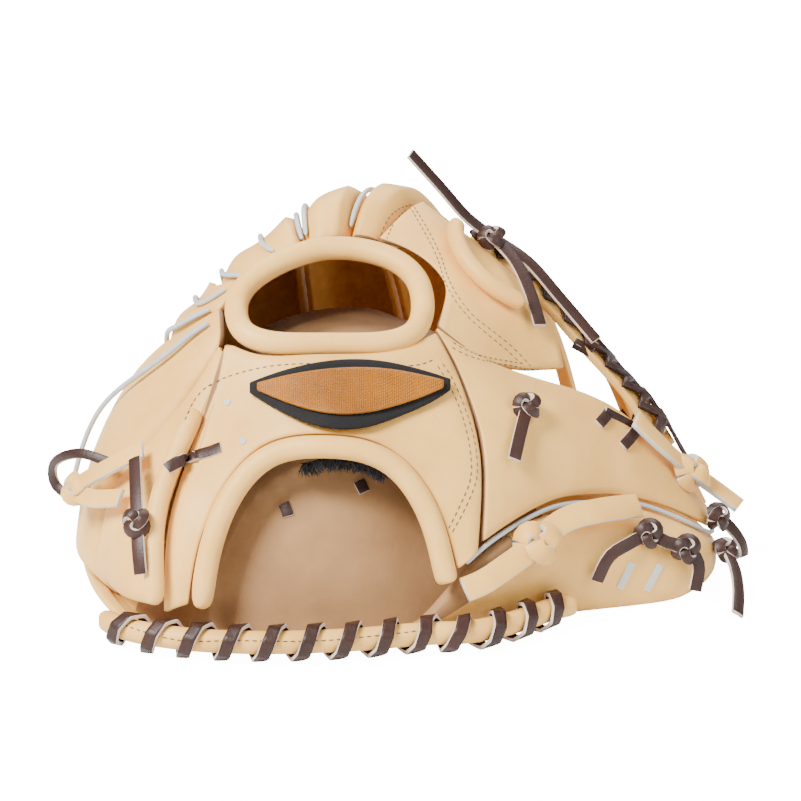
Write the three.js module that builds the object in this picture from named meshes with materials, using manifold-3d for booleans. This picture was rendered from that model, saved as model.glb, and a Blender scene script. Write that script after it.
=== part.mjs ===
// An outfield baseball glove for the left hand, lying palm down, in millimetres with Z up.
// X runs towards the thumb and Y from the heel towards the fingertips. Every surface is
// described by spokes that run outwards from the open back to the glove's rim.
import * as THREE from "three";
import { mergeVertices } from "three/addons/utils/BufferGeometryUtils.js";
import Module from "manifold-3d";

const REACH = 200; // length that the spokes' reaches are shares of
const RISE = 160; // height that the spokes' rises are shares of
const LEATHER = 2.4; // wall of the outer leather pieces
const PALM_PAD = 5; // padded palm leather with its lining
const SEAM_GAP = 0.4; // space between two pieces of leather
const HOLE_WIDTH = 84;
const HOLE_FRONT = 26; // from the hole's centre to its straight front edge
const HOLE_BACK = 30; // from the hole's centre to its round back edge
const HOLE_FRONT_CORNERS = 4.2; // powers of its outline: 2 is an ellipse, more is squarer
const HOLE_RIGHT_CORNER = 2.2;
const HOLE_LEFT_CORNER = 1.55;
const HOLE_SLOPE = 0.5; // rise of the hole's rim per millimetre away from the heel
const HOLE_HEIGHT = 128; // height of the hole's centre
const WRIST_WIDTH = 90;
const WRIST_HEIGHT = 77;
const BINDING = 8; // roll round the open back
const WRIST_LIP = 9; // padded roll round the wrist opening
const PIPING = 2.6;
const LACE_WIDTH = 5.6;
const LACE_THICK = 1.8;
const THONG_WIDTH = 11;
const THONG_THICK = 2.6;
const HEEL_ROLL = 10; // rolled edge along the heel
const PINKY_ROLL = 8; // rolled strip at the pinky side
const FLEECE = 3;
const WEB_BAND = 22; // between the two outer posts of the web
const WEB_CROSSINGS = 9;
const WEB_ROLL = 8;
const POST_WIDTH = 7;
const POST_THICK = 3.2;
const WEB_BAR_FROM = 15; // angles of the bar at the web's far edge
const WEB_BAR_TO = 58;
const WEB_STAYS = [[0.12, 50], [0.45, 35], [0.74, 26]]; // from along the band to an angle
const FELT = 1.6;
const PATCH_LENGTH = 80;
const PATCH_WIDTH = 22;
const PATCH_X = -21;
const PATCH_HEIGHT = 98;
const PATCH_LIFT = 2.5; // from the strap's seam line to the felt's outer face

// The rolled loop beside the index panel, as shares of REACH, REACH and RISE.
const WEB_ROLL_ROUTE = [
  [0.124, 0.704, 0.917], [0.119, 0.659, 0.899], [0.139, 0.594, 0.857], [0.194, 0.549, 0.795],
  [0.264, 0.554, 0.742],
];
// Each thong or lace: its routes, and its knots with their width, depth and height.
const THONGS = [
  {
    name: "thong_heel", wide: THONG_WIDTH, thick: THONG_THICK, colour: "cream", up: [0.2, -0.75, 0.6],
    routes: [
      [[0.131, 0.053, 0.158], [0.171, 0.073, 0.171], [0.216, 0.103, 0.196], [0.271, 0.148, 0.227], [0.341, 0.214, 0.274], [0.421, 0.259, 0.283], [0.506, 0.329, 0.264]],
    ],
    knots: [[[0.286, 0.159, 0.246], [14, 10, 15]]],
  },
  {
    name: "thong_thumb", wide: THONG_WIDTH, thick: THONG_THICK, colour: "cream", up: [0.5, -0.3, 0.8],
    routes: [
      [[0.509, 0.510, 0.432], [0.569, 0.510, 0.358], [0.639, 0.544, 0.267], [0.694, 0.549, 0.214], [0.744, 0.534, 0.170]],
    ],
    knots: [[[0.639, 0.539, 0.273], [13, 13, 9]]],
  },
  {
    name: "thong_pinky", wide: 0.7 * THONG_WIDTH, thick: 0.85 * THONG_THICK, colour: "cream", up: [-0.6, -0.5, 0.6],
    routes: [
      [[-0.536, 0.229, 0.465], [-0.601, 0.249, 0.415], [-0.686, 0.324, 0.321], [-0.651, 0.264, 0.315], [-0.581, 0.189, 0.349]],
    ],
    knots: [[[-0.689, 0.319, 0.321], [11, 13, 12]]],
  },
  {
    name: "lace_thumb_back", wide: LACE_WIDTH, thick: LACE_THICK, colour: "brown", up: [0.35, -0.6, 0.7],
    routes: [
      [[0.266, 0.314, 0.547], [0.251, 0.259, 0.503], [0.236, 0.206, 0.447]],
    ],
    knots: [[[0.269, 0.319, 0.550], [8, 7, 7]]],
  },
  {
    name: "lace_thumb_side", wide: LACE_WIDTH, thick: LACE_THICK, colour: "brown", up: [0.3, -0.9, 0.3],
    routes: [
      [[0.526, 0.289, 0.206], [0.481, 0.251, 0.193], [0.439, 0.226, 0.168], [0.414, 0.221, 0.102]],
      [[0.526, 0.289, 0.206], [0.566, 0.279, 0.184], [0.606, 0.289, 0.165], [0.634, 0.286, 0.118], [0.626, 0.271, 0.046]],
    ],
    knots: [[[0.526, 0.284, 0.209], [10, 7, 9]]],
  },
  {
    name: "lace_tip_upper", wide: LACE_WIDTH, thick: LACE_THICK, colour: "brown", up: [0.7, -0.6, 0.3],
    routes: [
      [[0.695, 0.486, 0.163], [0.727, 0.496, 0.119], [0.749, 0.499, 0.075], [0.753, 0.498, 0.041]],
    ],
    knots: [[[0.695, 0.486, 0.163], [9, 9, 8]]],
  },
  {
    name: "lace_tip_lower", wide: LACE_WIDTH, thick: LACE_THICK, colour: "brown", up: [0.5, -0.3, 0.8],
    routes: [
      [[0.707, 0.423, 0.094], [0.720, 0.363, 0.069], [0.720, 0.284, 0.044], [0.710, 0.194, 0.022]],
    ],
    knots: [[[0.707, 0.428, 0.097], [9, 9, 8]]],
  },
  {
    name: "lace_pinky", wide: LACE_WIDTH, thick: LACE_THICK, colour: "brown", up: [-0.4, -0.8, 0.5],
    routes: [
      [[-0.551, 0.208, 0.450], [-0.544, 0.133, 0.394], [-0.539, 0.078, 0.331], [-0.534, 0.038, 0.272], [-0.529, 0.018, 0.219]],
    ],
    knots: [[[-0.541, 0.073, 0.338], [8, 8, 8]]],
  },
  {
    name: "lace_loop", wide: 0.8 * LACE_WIDTH, thick: LACE_THICK, colour: "brown", up: [-0.3, -0.8, 0.5],
    routes: [
      [[-0.603, 0.293, 0.397], [-0.678, 0.333, 0.409], [-0.738, 0.393, 0.359], [-0.743, 0.413, 0.290], [-0.708, 0.383, 0.265]],
    ],
    knots: [],
  },
  {
    name: "web_knot", wide: LACE_WIDTH, thick: LACE_THICK, colour: "brown", up: [0.2, -0.5, 0.8],
    routes: [
      [[0.021, 0.725, 1.105], [0.086, 0.730, 1.011], [0.146, 0.730, 0.924], [0.206, 0.720, 0.868]],
      [[0.206, 0.720, 0.868], [0.251, 0.670, 0.818], [0.281, 0.605, 0.755], [0.301, 0.535, 0.686]],
      [[0.206, 0.720, 0.868], [0.281, 0.685, 0.811], [0.351, 0.635, 0.724], [0.426, 0.590, 0.623]],
    ],
    knots: [[[0.201, 0.720, 0.874], [13, 12, 12]]],
  },
];

const HOLE_X = -30; // the hole's centre in plan, with the middle of the glove at X 0
const HOLE_Y = 88; // and the heel at Y 0

// One row per spoke. The angle is in degrees, 0 towards the thumb and 90 to the fingertips.
// The back's skin runs from the hole over a shoulder and a flank to its rim. The palm runs
// from the middle over palmReach to the floor, where its foot is flat, and up to its lip.
const SPOKE_COLUMNS = [
  "angle", "shoulderReach", "shoulderRise", "flankReach", "flankRise", "rimReach", "rimRise",
  "floorReach", "foot", "lipReach", "lipRise", "palmReach", "palmRise",
];
const SPOKES = [
  [0, 0.375, 0.619, 0.55, 0.469, 0.78, 0.181, 0.84, 0.135, 0.78, 0.156, 0.4, 0.35],
  [3, 0.39, 0.613, 0.58, 0.463, 0.84, 0.125, 0.845, 0.125, 0.835, 0.1, 0.405, 0.356],
  [8, 0.42, 0.606, 0.63, 0.45, 0.865, 0.106, 0.845, 0.12, 0.85, 0.075, 0.41, 0.362],
  [20, 0.53, 0.644, 0.78, 0.375, 0.885, 0.087, 0.85, 0.11, 0.86, 0.056, 0.44, 0.4],
  [34, 0.55, 0.744, 0.76, 0.45, 0.91, 0.062, 0.875, 0.11, 0.88, 0.044, 0.46, 0.45],
  [48, 0.48, 0.875, 0.75, 0.537, 0.94, 0.05, 0.9, 0.11, 0.905, 0.037, 0.48, 0.5],
  [62, 0.42, 0.95, 0.75, 0.575, 0.96, 0.037, 0.92, 0.11, 0.925, 0.031, 0.49, 0.55],
  [76, 0.37, 0.975, 0.73, 0.613, 0.94, 0.037, 0.9, 0.11, 0.905, 0.031, 0.49, 0.575],
  [92, 0.33, 0.95, 0.7, 0.613, 0.89, 0.037, 0.85, 0.11, 0.855, 0.031, 0.47, 0.575],
  [110, 0.33, 0.887, 0.65, 0.575, 0.825, 0.037, 0.785, 0.11, 0.79, 0.031, 0.44, 0.55],
  [130, 0.34, 0.781, 0.59, 0.5, 0.74, 0.037, 0.7, 0.11, 0.705, 0.031, 0.39, 0.512],
  [148, 0.355, 0.681, 0.54, 0.438, 0.66, 0.056, 0.62, 0.1, 0.63, 0.037, 0.35, 0.463],
  [162, 0.36, 0.631, 0.52, 0.388, 0.605, 0.081, 0.575, 0.09, 0.585, 0.056, 0.33, 0.425],
  [175, 0.35, 0.6, 0.505, 0.362, 0.57, 0.081, 0.54, 0.08, 0.55, 0.062, 0.32, 0.388],
  [190, 0.33, 0.575, 0.49, 0.375, 0.545, 0.087, 0.515, 0.07, 0.525, 0.056, 0.31, 0.362],
  [206, 0.31, 0.55, 0.47, 0.35, 0.53, 0.106, 0.505, 0.07, 0.515, 0.037, 0.3, 0.338],
  [220, 0.3, 0.537, 0.45, 0.338, 0.555, 0.113, 0.525, 0.07, 0.53, 0.031, 0.31, 0.325],
  [228, 0.29, 0.544, 0.43, 0.362, 0.54, 0.113, 0.51, 0.07, 0.51, 0.025, 0.3, 0.338],
  [238, 0.26, 0.575, 0.39, 0.412, 0.505, 0.113, 0.48, 0.07, 0.48, 0.025, 0.28, 0.35],
  [250, 0.23, 0.606, 0.35, 0.463, 0.475, 0.113, 0.445, 0.07, 0.445, 0.025, 0.27, 0.362],
  [270, 0.225, 0.613, 0.34, 0.487, 0.44, 0.113, 0.41, 0.07, 0.41, 0.025, 0.25, 0.375],
  [284, 0.23, 0.613, 0.345, 0.481, 0.435, 0.113, 0.405, 0.07, 0.405, 0.025, 0.25, 0.375],
  [298, 0.24, 0.606, 0.365, 0.438, 0.445, 0.125, 0.405, 0.07, 0.415, 0.05, 0.25, 0.375],
  [306, 0.25, 0.606, 0.375, 0.438, 0.46, 0.212, 0.415, 0.075, 0.45, 0.163, 0.25, 0.362],
  [318, 0.28, 0.613, 0.39, 0.463, 0.47, 0.275, 0.44, 0.085, 0.47, 0.25, 0.26, 0.35],
  [330, 0.3, 0.619, 0.41, 0.469, 0.485, 0.3, 0.49, 0.1, 0.49, 0.275, 0.28, 0.338],
  [340, 0.32, 0.625, 0.435, 0.475, 0.52, 0.312, 0.565, 0.13, 0.525, 0.287, 0.32, 0.325],
  [348, 0.34, 0.625, 0.47, 0.475, 0.58, 0.294, 0.755, 0.17, 0.585, 0.269, 0.36, 0.325],
  [356, 0.36, 0.619, 0.52, 0.475, 0.66, 0.263, 0.82, 0.15, 0.66, 0.237, 0.39, 0.338],
];
const PALM_APEX = 0.62 * RISE; // height of the pocket under the open back

const COLOURS = {
  cream: [0xead2a4, 0.55],
  lining: [0xd9b98a, 0.75],
  brown: [0x3f2620, 0.5],
  grey: [0xc4c9cf, 0.45],
  fleece: [0x141314, 1],
  felt: [0x191614, 0.95],
  gold: [0xc98a1c, 0.45],
};
const group = new THREE.Group();
group.name = "outfield_glove";

function addMesh(name, positions, indices, colour) {
  const geometry = new THREE.BufferGeometry();
  geometry.setAttribute("position", new THREE.Float32BufferAttribute(positions, 3));
  geometry.setIndex(indices);
  geometry.computeVertexNormals();
  const [hex, roughness] = COLOURS[colour];
  const material = new THREE.MeshStandardMaterial({ color: hex, roughness, metalness: 0 });
  const mesh = new THREE.Mesh(geometry, material);
  mesh.name = name;
  group.add(mesh);
  return mesh;
}

const mix = (a, b, t) => a + (b - a) * t;
const clamp = (x, low, high) => Math.min(high, Math.max(low, x));
const smooth = (low, high, x) => {
  const t = clamp((x - low) / (high - low), 0, 1);
  return t * t * (3 - 2 * t);
};
const radians = (degrees) => (degrees * Math.PI) / 180;

// Smooth values between the table's rows, with no overshoot between two of them.
function monotone(x, xs, ys) {
  const n = xs.length;
  let i = 0;
  while (i < n - 2 && x > xs[i + 1]) i++;
  const slope = (k) => (ys[k + 1] - ys[k]) / (xs[k + 1] - xs[k]);
  const tangent = (k) => {
    if (k === 0 || k === n - 1) return slope(k === 0 ? 0 : n - 2);
    const before = slope(k - 1);
    const after = slope(k);
    return before * after <= 0 ? 0 : (2 * before * after) / (before + after);
  };
  const h = xs[i + 1] - xs[i];
  const t = (x - xs[i]) / h;
  const a = ys[i] * (1 + 2 * t) * (1 - t) ** 2 + ys[i + 1] * t * t * (3 - 2 * t);
  return a + h * (tangent(i) * t * (1 - t) ** 2 + tangent(i + 1) * t * t * (t - 1));
}

// The rows with two more at each end, so that the interpolation runs round the whole glove.
const around = [
  ...SPOKES.slice(-2).map((row) => [row[0] - 360, ...row.slice(1)]),
  ...SPOKES,
  ...SPOKES.slice(0, 2).map((row) => [row[0] + 360, ...row.slice(1)]),
];
const angles = around.map((row) => row[0]);
function spoke(angle) {
  const a = ((angle % 360) + 360) % 360;
  const values = {};
  SPOKE_COLUMNS.forEach((column, k) => {
    if (k === 0) return;
    const size = column.endsWith("Rise") ? RISE : REACH;
    values[column] = size * monotone(a, angles, around.map((row) => row[k]));
  });
  return values;
}

function holeReach(angle) {
  const across = Math.cos(radians(angle)) / (HOLE_WIDTH / 2);
  const front = Math.sin(radians(angle)) < 0;
  const back = Math.abs(Math.sin(radians(angle))) / (front ? HOLE_FRONT : HOLE_BACK);
  const side = across > 0 ? HOLE_RIGHT_CORNER : HOLE_LEFT_CORNER;
  const power = front ? HOLE_FRONT_CORNERS : side;
  return (Math.abs(across) ** power + back ** power) ** (-1 / power);
}

function inPlan(angle, reach, height) {
  const a = radians(angle);
  return new THREE.Vector3(HOLE_X + reach * Math.cos(a), HOLE_Y + reach * Math.sin(a), height);
}

const profiles = new Map();
function profile(kind, angle) {
  const key = kind + angle.toFixed(4);
  if (!profiles.has(key)) {
    const v = spoke(angle);
    const hole = holeReach(angle);
    const holeRise = HOLE_HEIGHT + HOLE_SLOPE * hole * Math.sin(radians(angle));
    const rows = kind === "skin"
      ? [[hole, holeRise], [v.shoulderReach, v.shoulderRise], [v.flankReach, v.flankRise],
        [v.rimReach, v.rimRise]]
      : [[0, PALM_APEX], [v.palmReach, v.palmRise], [v.floorReach - v.foot, 0.05 * RISE],
        [v.floorReach - 0.7 * v.foot, 0], [v.floorReach - 0.15 * v.foot, 0],
        [Math.max(v.floorReach, v.lipReach) + 0.04 * v.lipRise, 0.45 * v.lipRise],
        [v.lipReach, v.lipRise]];
    const points = rows.map(([reach, height]) => new THREE.Vector3(reach, 0, height));
    profiles.set(key, new THREE.CatmullRomCurve3(points, false, "centripetal"));
  }
  return profiles.get(key);
}

// A point of the back's skin: angle round the hole, and share of the way from hole to rim.
function skin(angle, share) {
  const p = profile("skin", angle).getPoint(clamp(share, 0, 1));
  return inPlan(angle, p.x, p.z);
}

function skinNormal(angle, share) {
  const e = 0.02;
  const along = skin(angle, share + e).sub(skin(angle, share - e));
  const across = skin(angle + 1, share).sub(skin(angle - 1, share));
  return across.cross(along).negate().normalize();
}

// Away from the hand, but without leaving the spoke's own plane.
function skinLift(angle, share, lift) {
  const d = profile("skin", angle).getTangent(clamp(share, 0, 1));
  const a = radians(angle);
  return new THREE.Vector3(-d.z * Math.cos(a), -d.z * Math.sin(a), d.x).multiplyScalar(lift);
}

// The pocket's face of the palm, and with a depth the face towards the hand.
function palm(angle, share, depth = 0) {
  const curve = profile("palm", angle);
  const p = curve.getPoint(share);
  const d = curve.getTangent(share);
  const reach = Math.max(0, p.x - d.z * depth);
  const flat = Math.abs(d.z) < 0.35 && share > 0.45 && share < 0.7;
  return inPlan(angle, reach, Math.max(flat ? depth : 0, p.z + d.x * depth));
}

// Where the skin of the glove's front has the given X and height.
function onSkin(x, height) {
  let y = 0.1 * REACH;
  let angle = 270;
  let share = 0.5;
  for (let turn = 0; turn < 12; turn++) {
    angle = (Math.atan2(y - HOLE_Y, x - HOLE_X) * 180) / Math.PI;
    let low = 0;
    let high = 1;
    for (let k = 0; k < 20; k++) {
      share = (low + high) / 2;
      if (skin(angle, share).z > height) low = share;
      else high = share;
    }
    y = mix(y, skin(angle, share).y, 0.7);
  }
  return { angle, share, point: skin(angle, share), normal: skinNormal(angle, share) };
}

// A closed solid between two grids of points with the same rows and columns.
function slab(name, outer, inner, colour) {
  const rows = outer.length;
  const columns = outer[0].length;
  const positions = [];
  for (const p of [outer, inner].flat(2)) positions.push(p.x, p.y, p.z);
  const at = (side, i, j) => side * rows * columns + i * columns + j;
  const indices = [];
  const quad = (a, b, c, d) => indices.push(a, b, c, a, c, d);
  for (let i = 0; i < rows - 1; i++) {
    for (let j = 0; j < columns - 1; j++) {
      quad(at(0, i, j), at(0, i, j + 1), at(0, i + 1, j + 1), at(0, i + 1, j));
      quad(at(1, i, j), at(1, i + 1, j), at(1, i + 1, j + 1), at(1, i, j + 1));
    }
    quad(at(0, i, 0), at(0, i + 1, 0), at(1, i + 1, 0), at(1, i, 0));
    quad(at(0, i + 1, columns - 1), at(0, i, columns - 1), at(1, i, columns - 1), at(1, i + 1, columns - 1));
  }
  for (let j = 0; j < columns - 1; j++) {
    quad(at(0, 0, j + 1), at(0, 0, j), at(1, 0, j), at(1, 0, j + 1));
    quad(at(0, rows - 1, j), at(0, rows - 1, j + 1), at(1, rows - 1, j + 1), at(1, rows - 1, j));
  }
  return addMesh(name, positions, turnedOut(positions, indices), colour);
}

// The triangles, turned round where the solid they close would be inside out.
function turnedOut(positions, indices) {
  let volume = 0;
  const p = (k) => new THREE.Vector3(positions[3 * k], positions[3 * k + 1], positions[3 * k + 2]);
  for (let i = 0; i < indices.length; i += 3) {
    volume += p(indices[i]).dot(p(indices[i + 1]).cross(p(indices[i + 2])));
  }
  if (volume > 0) return indices;
  const turned = [];
  for (let i = 0; i < indices.length; i += 3) {
    turned.push(indices[i], indices[i + 2], indices[i + 1]);
  }
  return turned;
}

// A piece of leather: its outer face given by a function of s and t, and its wall inwards.
function leather(name, surface, s, t, thick, colour) {
  const e = 0.004;
  const outer = [];
  const inner = [];
  for (const tk of t) {
    const outerRow = [];
    const innerRow = [];
    for (const sk of s) {
      const p = surface(sk, tk);
      const ds = surface(Math.min(1, sk + e), tk).sub(surface(Math.max(0, sk - e), tk));
      const dt = surface(sk, Math.min(1, tk + e)).sub(surface(sk, Math.max(0, tk - e)));
      const normal = ds.cross(dt).normalize();
      outerRow.push(p);
      innerRow.push(p.clone().addScaledVector(normal, -thick));
    }
    outer.push(outerRow);
    inner.push(innerRow);
  }
  return slab(name, outer, inner, colour);
}

const steps = (n) => Array.from({ length: n + 1 }, (_, k) => k / n);

// Sweeps a section along a path. Its first axis lies across and its second along the ups.
function sweep(name, path, section, colour, { ups = null, closed = false } = {}) {
  const n = path.length;
  const m = section.length;
  const positions = [];
  let up = ups ? null : new THREE.Vector3(0, 0, 1);
  for (let i = 0; i < n; i++) {
    const before = path[closed ? (i + n - 1) % n : Math.max(0, i - 1)];
    const after = path[closed ? (i + 1) % n : Math.min(n - 1, i + 1)];
    const tangent = after.clone().sub(before).normalize();
    if (ups) up = ups[i].clone();
    if (!ups && i === 0 && Math.abs(tangent.z) > 0.9) up = new THREE.Vector3(0, 1, 0);
    const side = tangent.clone().cross(up).normalize();
    up = side.clone().cross(tangent).normalize();
    for (const [a, b] of section) {
      const p = path[i].clone().addScaledVector(side, a).addScaledVector(up, b);
      positions.push(p.x, p.y, p.z);
    }
  }
  const indices = [];
  const rings = closed ? n : n - 1;
  for (let i = 0; i < rings; i++) {
    for (let j = 0; j < m; j++) {
      const a = i * m + j;
      const b = i * m + ((j + 1) % m);
      const c = ((i + 1) % n) * m + ((j + 1) % m);
      const d = ((i + 1) % n) * m + j;
      indices.push(a, b, c, a, c, d);
    }
  }
  if (!closed) {
    for (let j = 1; j < m - 1; j++) {
      indices.push(0, j + 1, j);
      indices.push((n - 1) * m, (n - 1) * m + j, (n - 1) * m + j + 1);
    }
  }
  return addMesh(name, positions, turnedOut(positions, indices), colour);
}

const round = (diameter, sides) => steps(sides).slice(0, -1).map((k) => [
  (diameter / 2) * Math.cos(2 * Math.PI * k),
  (diameter / 2) * Math.sin(2 * Math.PI * k),
]);
const flat = (width, thick) => [
  [-width / 2, -thick / 2], [width / 2, -thick / 2], [width / 2, thick / 2], [-width / 2, thick / 2],
];
const through = (points, count) => {
  const curve = new THREE.CatmullRomCurve3(points, false, "centripetal");
  return curve.getSpacedPoints(count);
};

// The palm: one bowl round the middle, denser where the thumb's side turns.
const PALM_SHARES = [0.08, 0.16, 0.25, 0.333, 0.41, 0.5, 2 / 3, 0.75, 0.87, 1];
const PALM_ANGLES = [];
for (let a = 0; a < 360; a += a < 8 || a >= 336 ? 4 : 12.615) PALM_ANGLES.push(a);
function buildPalm() {
  const positions = [];
  const count = PALM_ANGLES.length;
  const rows = PALM_SHARES.length;
  for (const depth of [0, PALM_PAD]) {
    positions.push(HOLE_X, HOLE_Y, PALM_APEX + depth);
    for (const angle of PALM_ANGLES) {
      for (const share of PALM_SHARES) {
        const p = palm(angle, share, depth);
        positions.push(p.x, p.y, p.z);
      }
    }
  }
  const size = 1 + count * rows;
  const at = (side, i, j) => side * size + 1 + (i % count) * rows + j;
  const indices = [];
  for (let i = 0; i < count; i++) {
    indices.push(0, at(0, i + 1, 0), at(0, i, 0), size, at(1, i, 0), at(1, i + 1, 0));
    for (let j = 0; j < rows - 1; j++) {
      const [a, b, c, d] = [at(0, i, j), at(0, i + 1, j), at(0, i + 1, j + 1), at(0, i, j + 1)];
      indices.push(a, b, c, a, c, d);
      const [e, f, g, h] = [at(1, i, j), at(1, i + 1, j), at(1, i + 1, j + 1), at(1, i, j + 1)];
      indices.push(e, g, f, e, h, g);
    }
    const j = rows - 1;
    const [a, b, c, d] = [at(0, i, j), at(0, i + 1, j), at(1, i + 1, j), at(1, i, j)];
    indices.push(a, b, c, a, c, d);
  }
  addMesh("palm_shell", positions, turnedOut(positions, indices), "cream");
}
buildPalm();

// The four finger backs. Each runs from its two edges at the hole to those at the tip.
const FINGERS = [
  { name: "index", leftBase: 79, rightBase: 61, leftTip: 76, rightTip: 61, bulge: 6, groove: 0 },
  { name: "middle", leftBase: 106, rightBase: 79, leftTip: 92, rightTip: 76, bulge: 7, groove: 0 },
  { name: "ring", leftBase: 146, rightBase: 106, leftTip: 108, rightTip: 92, bulge: 6, groove: 5 },
  { name: "pinky", leftBase: 172, rightBase: 146, leftTip: 126, rightTip: 108, bulge: 5, groove: 4.5 },
];
const FINGER_GAP = 0.9; // degrees between two neighbours

// A finger's outer face: s from its left edge to its right one, t from the hole to the tip.
function fingerFace(finger, s, t) {
  const c = Math.cos(Math.PI * s);
  const across = Math.sign(c) * Math.abs(c) ** 0.66;
  const height = Math.sin(Math.PI * clamp(s, 0, 1)) ** 0.66;
  const bend = smooth(0, 0.75, t);
  const left = mix(finger.leftBase, finger.leftTip, bend) - FINGER_GAP / 2;
  const right = mix(finger.rightBase, finger.rightTip, bend) + FINGER_GAP / 2;
  const angle = mix(right, left, (across + 1) / 2);
  const share = mix(0.06, 0.985, t);
  const foot = mix(0.88, 0, smooth(0.3, 0.8, t));
  const level = mix(foot, 1, height);
  const grown = smooth(0, 0.12, t) * (1 - 0.5 * smooth(0.85, 1, t));
  const dip = finger.groove * Math.exp(-(((s - 0.5) / 0.1) ** 2)) * (1 - smooth(0.6, 0.9, t));
  const above = skin(angle, share)
    .add(skinLift(angle, share, (finger.bulge * height - dip) * grown));
  const below = palm(angle, mix(0.2, 0.63, share), PALM_PAD + 1);
  return below.lerp(above, level);
}

const fingerSteps = (lobed) => (lobed
  ? [0, 0.04, 0.12, 0.22, 0.34, 0.44, 0.5, 0.56, 0.66, 0.78, 0.88, 0.96, 1]
  : [0, 0.04, 0.13, 0.25, 0.41, 0.59, 0.75, 0.87, 0.96, 1]);
for (const finger of FINGERS) {
  leather(
    `back_${finger.name}`, (s, t) => fingerFace(finger, s, t),
    fingerSteps(finger.groove > 0), steps(9), LEATHER, "cream",
  );
}

// A panel of the skin between a left and a right edge, which are angles at each share.
function panelFace(panel, s, t) {
  const share = mix(panel.from, panel.to, t);
  const angle = mix(panel.left(share), panel.right(share), s);
  const reached = panel.end ? mix(panel.from, panel.end(angle), t) : share;
  const rise = panel.bulge * Math.sin(Math.PI * clamp(s, 0, 1)) * Math.sin(Math.PI * clamp(t, 0, 1)) ** 0.5;
  return skin(angle, reached).add(skinLift(angle, reached, rise));
}

function shareWhere(angle, reached) {
  let low = 0;
  let high = 1;
  for (let k = 0; k < 24; k++) {
    const share = (low + high) / 2;
    if (reached(skin(angle, share))) high = share;
    else low = share;
  }
  return (low + high) / 2;
}
const reachOf = (p) => Math.hypot(p.x - HOLE_X, p.y - HOLE_Y);

// The side wall between the pinky finger and the heel is built like one more finger.
const SIDE_LEFT = 199; // angle between the side wall and the flap
const SIDE_WALL = {
  leftBase: SIDE_LEFT, rightBase: FINGERS[3].leftBase, leftTip: SIDE_LEFT, rightTip: FINGERS[3].leftTip,
  bulge: 4, groove: 0,
};
leather(
  "pinky_side_panel", (s, t) => fingerFace(SIDE_WALL, s, t), fingerSteps(false), steps(9), LEATHER, "cream",
);

// The wrist opening is an arch in the skin. A margin moves outwards from its edge.
const WRIST_X = -31;
const ARCH_FOOT = 0.12 * RISE;
function archSpot(turn, margin) {
  const c = Math.cos(turn);
  const across = (WRIST_WIDTH / 2 + margin) * Math.sign(c) * Math.abs(c) ** 0.8;
  return onSkin(WRIST_X + across, Math.max(ARCH_FOOT, (WRIST_HEIGHT + margin) * Math.sin(turn) ** 0.8));
}
const ARCH_TURNS = 28;
const archTurn = (k) => Math.PI * mix(0.945, 0.055, k);
const strapArch = steps(ARCH_TURNS).map((k) => {
  const turn = archTurn(k);
  return archSpot(turn, WRIST_LIP + (4 + 3 * Math.cos(turn) ** 6) * SEAM_GAP);
});

// The strap's left end is cut slanting, and its right edge is the curved double seam.
const strapLeft = (share) => mix(203, 231, Math.max(0, (share - 0.06) / 0.94) ** 0.8);
const strapRight = (share) => 343 - 31.5 * Math.max(0, share) ** 1.1;
const STRAP_LEFT_PART = 0.2; // shares of the strap's outline that are its two ends
const STRAP_RIGHT_PART = 0.3;
function strapOutline(s) {
  if (s < STRAP_LEFT_PART) {
    const share = mix(1, 0.06, s / STRAP_LEFT_PART);
    return [strapLeft(share), share];
  }
  if (s > 1 - STRAP_RIGHT_PART) {
    const share = mix(0.06, 1, (s - 1 + STRAP_RIGHT_PART) / STRAP_RIGHT_PART);
    return [strapRight(share), share];
  }
  const k = (s - STRAP_LEFT_PART) / (1 - STRAP_LEFT_PART - STRAP_RIGHT_PART);
  return [mix(strapLeft(0.06), strapRight(0.06), k), 0.06];
}
function strapFace(s, t) {
  const k = clamp(s, 0, 1) * ARCH_TURNS;
  const i = Math.min(ARCH_TURNS - 1, Math.floor(k));
  const [a, b] = [strapArch[i], strapArch[i + 1]];
  const [outAngle, outShare] = strapOutline(clamp(s, 0, 1));
  const angle = mix(outAngle, mix(a.angle, b.angle, k - i) + (a.angle < 0 ? 360 : 0), t);
  const share = mix(outShare, mix(a.share, b.share, k - i), t);
  return skin(angle, share).add(skinLift(angle, share, 1.2 * Math.sin(Math.PI * clamp(t, 0, 1))));
}
const strapSteps = [
  0, 0.03, 0.07, 0.12, 0.2, 0.27, 0.34, 0.41, 0.48, 0.55, 0.62, 0.7, 0.76, 0.82, 0.88, 0.93, 0.97, 1,
];
leather(
  "wrist_strap", (s, t) => strapFace(1 - s, t), strapSteps.map((s) => 1 - s).reverse(), steps(4),
  LEATHER, "cream",
);

// The flap below the strap's left end.
const flap = {
  left: (share) => strapLeft(share) - 1.8,
  right: () => SIDE_LEFT + 0.8,
  from: 0.1,
  to: 0.985,
  bulge: 2,
};
leather("pinky_flap", (s, t) => panelFace(flap, s, t), steps(6), steps(5), LEATHER, "cream");

// The thumb's back, from the strap's seam to the ridge towards the web.
const thumbTop = (share) => 344.2 + 25 * smooth(0.06, 0.65, share);
const thumb = {
  left: thumbTop,
  right: (share) => strapRight(share) + 1.8,
  from: 0.06,
  to: 0.985,
  bulge: 2,
};
leather("thumb_panel", (s, t) => panelFace(thumb, s, t), steps(10), steps(7), LEATHER, "cream");

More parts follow.
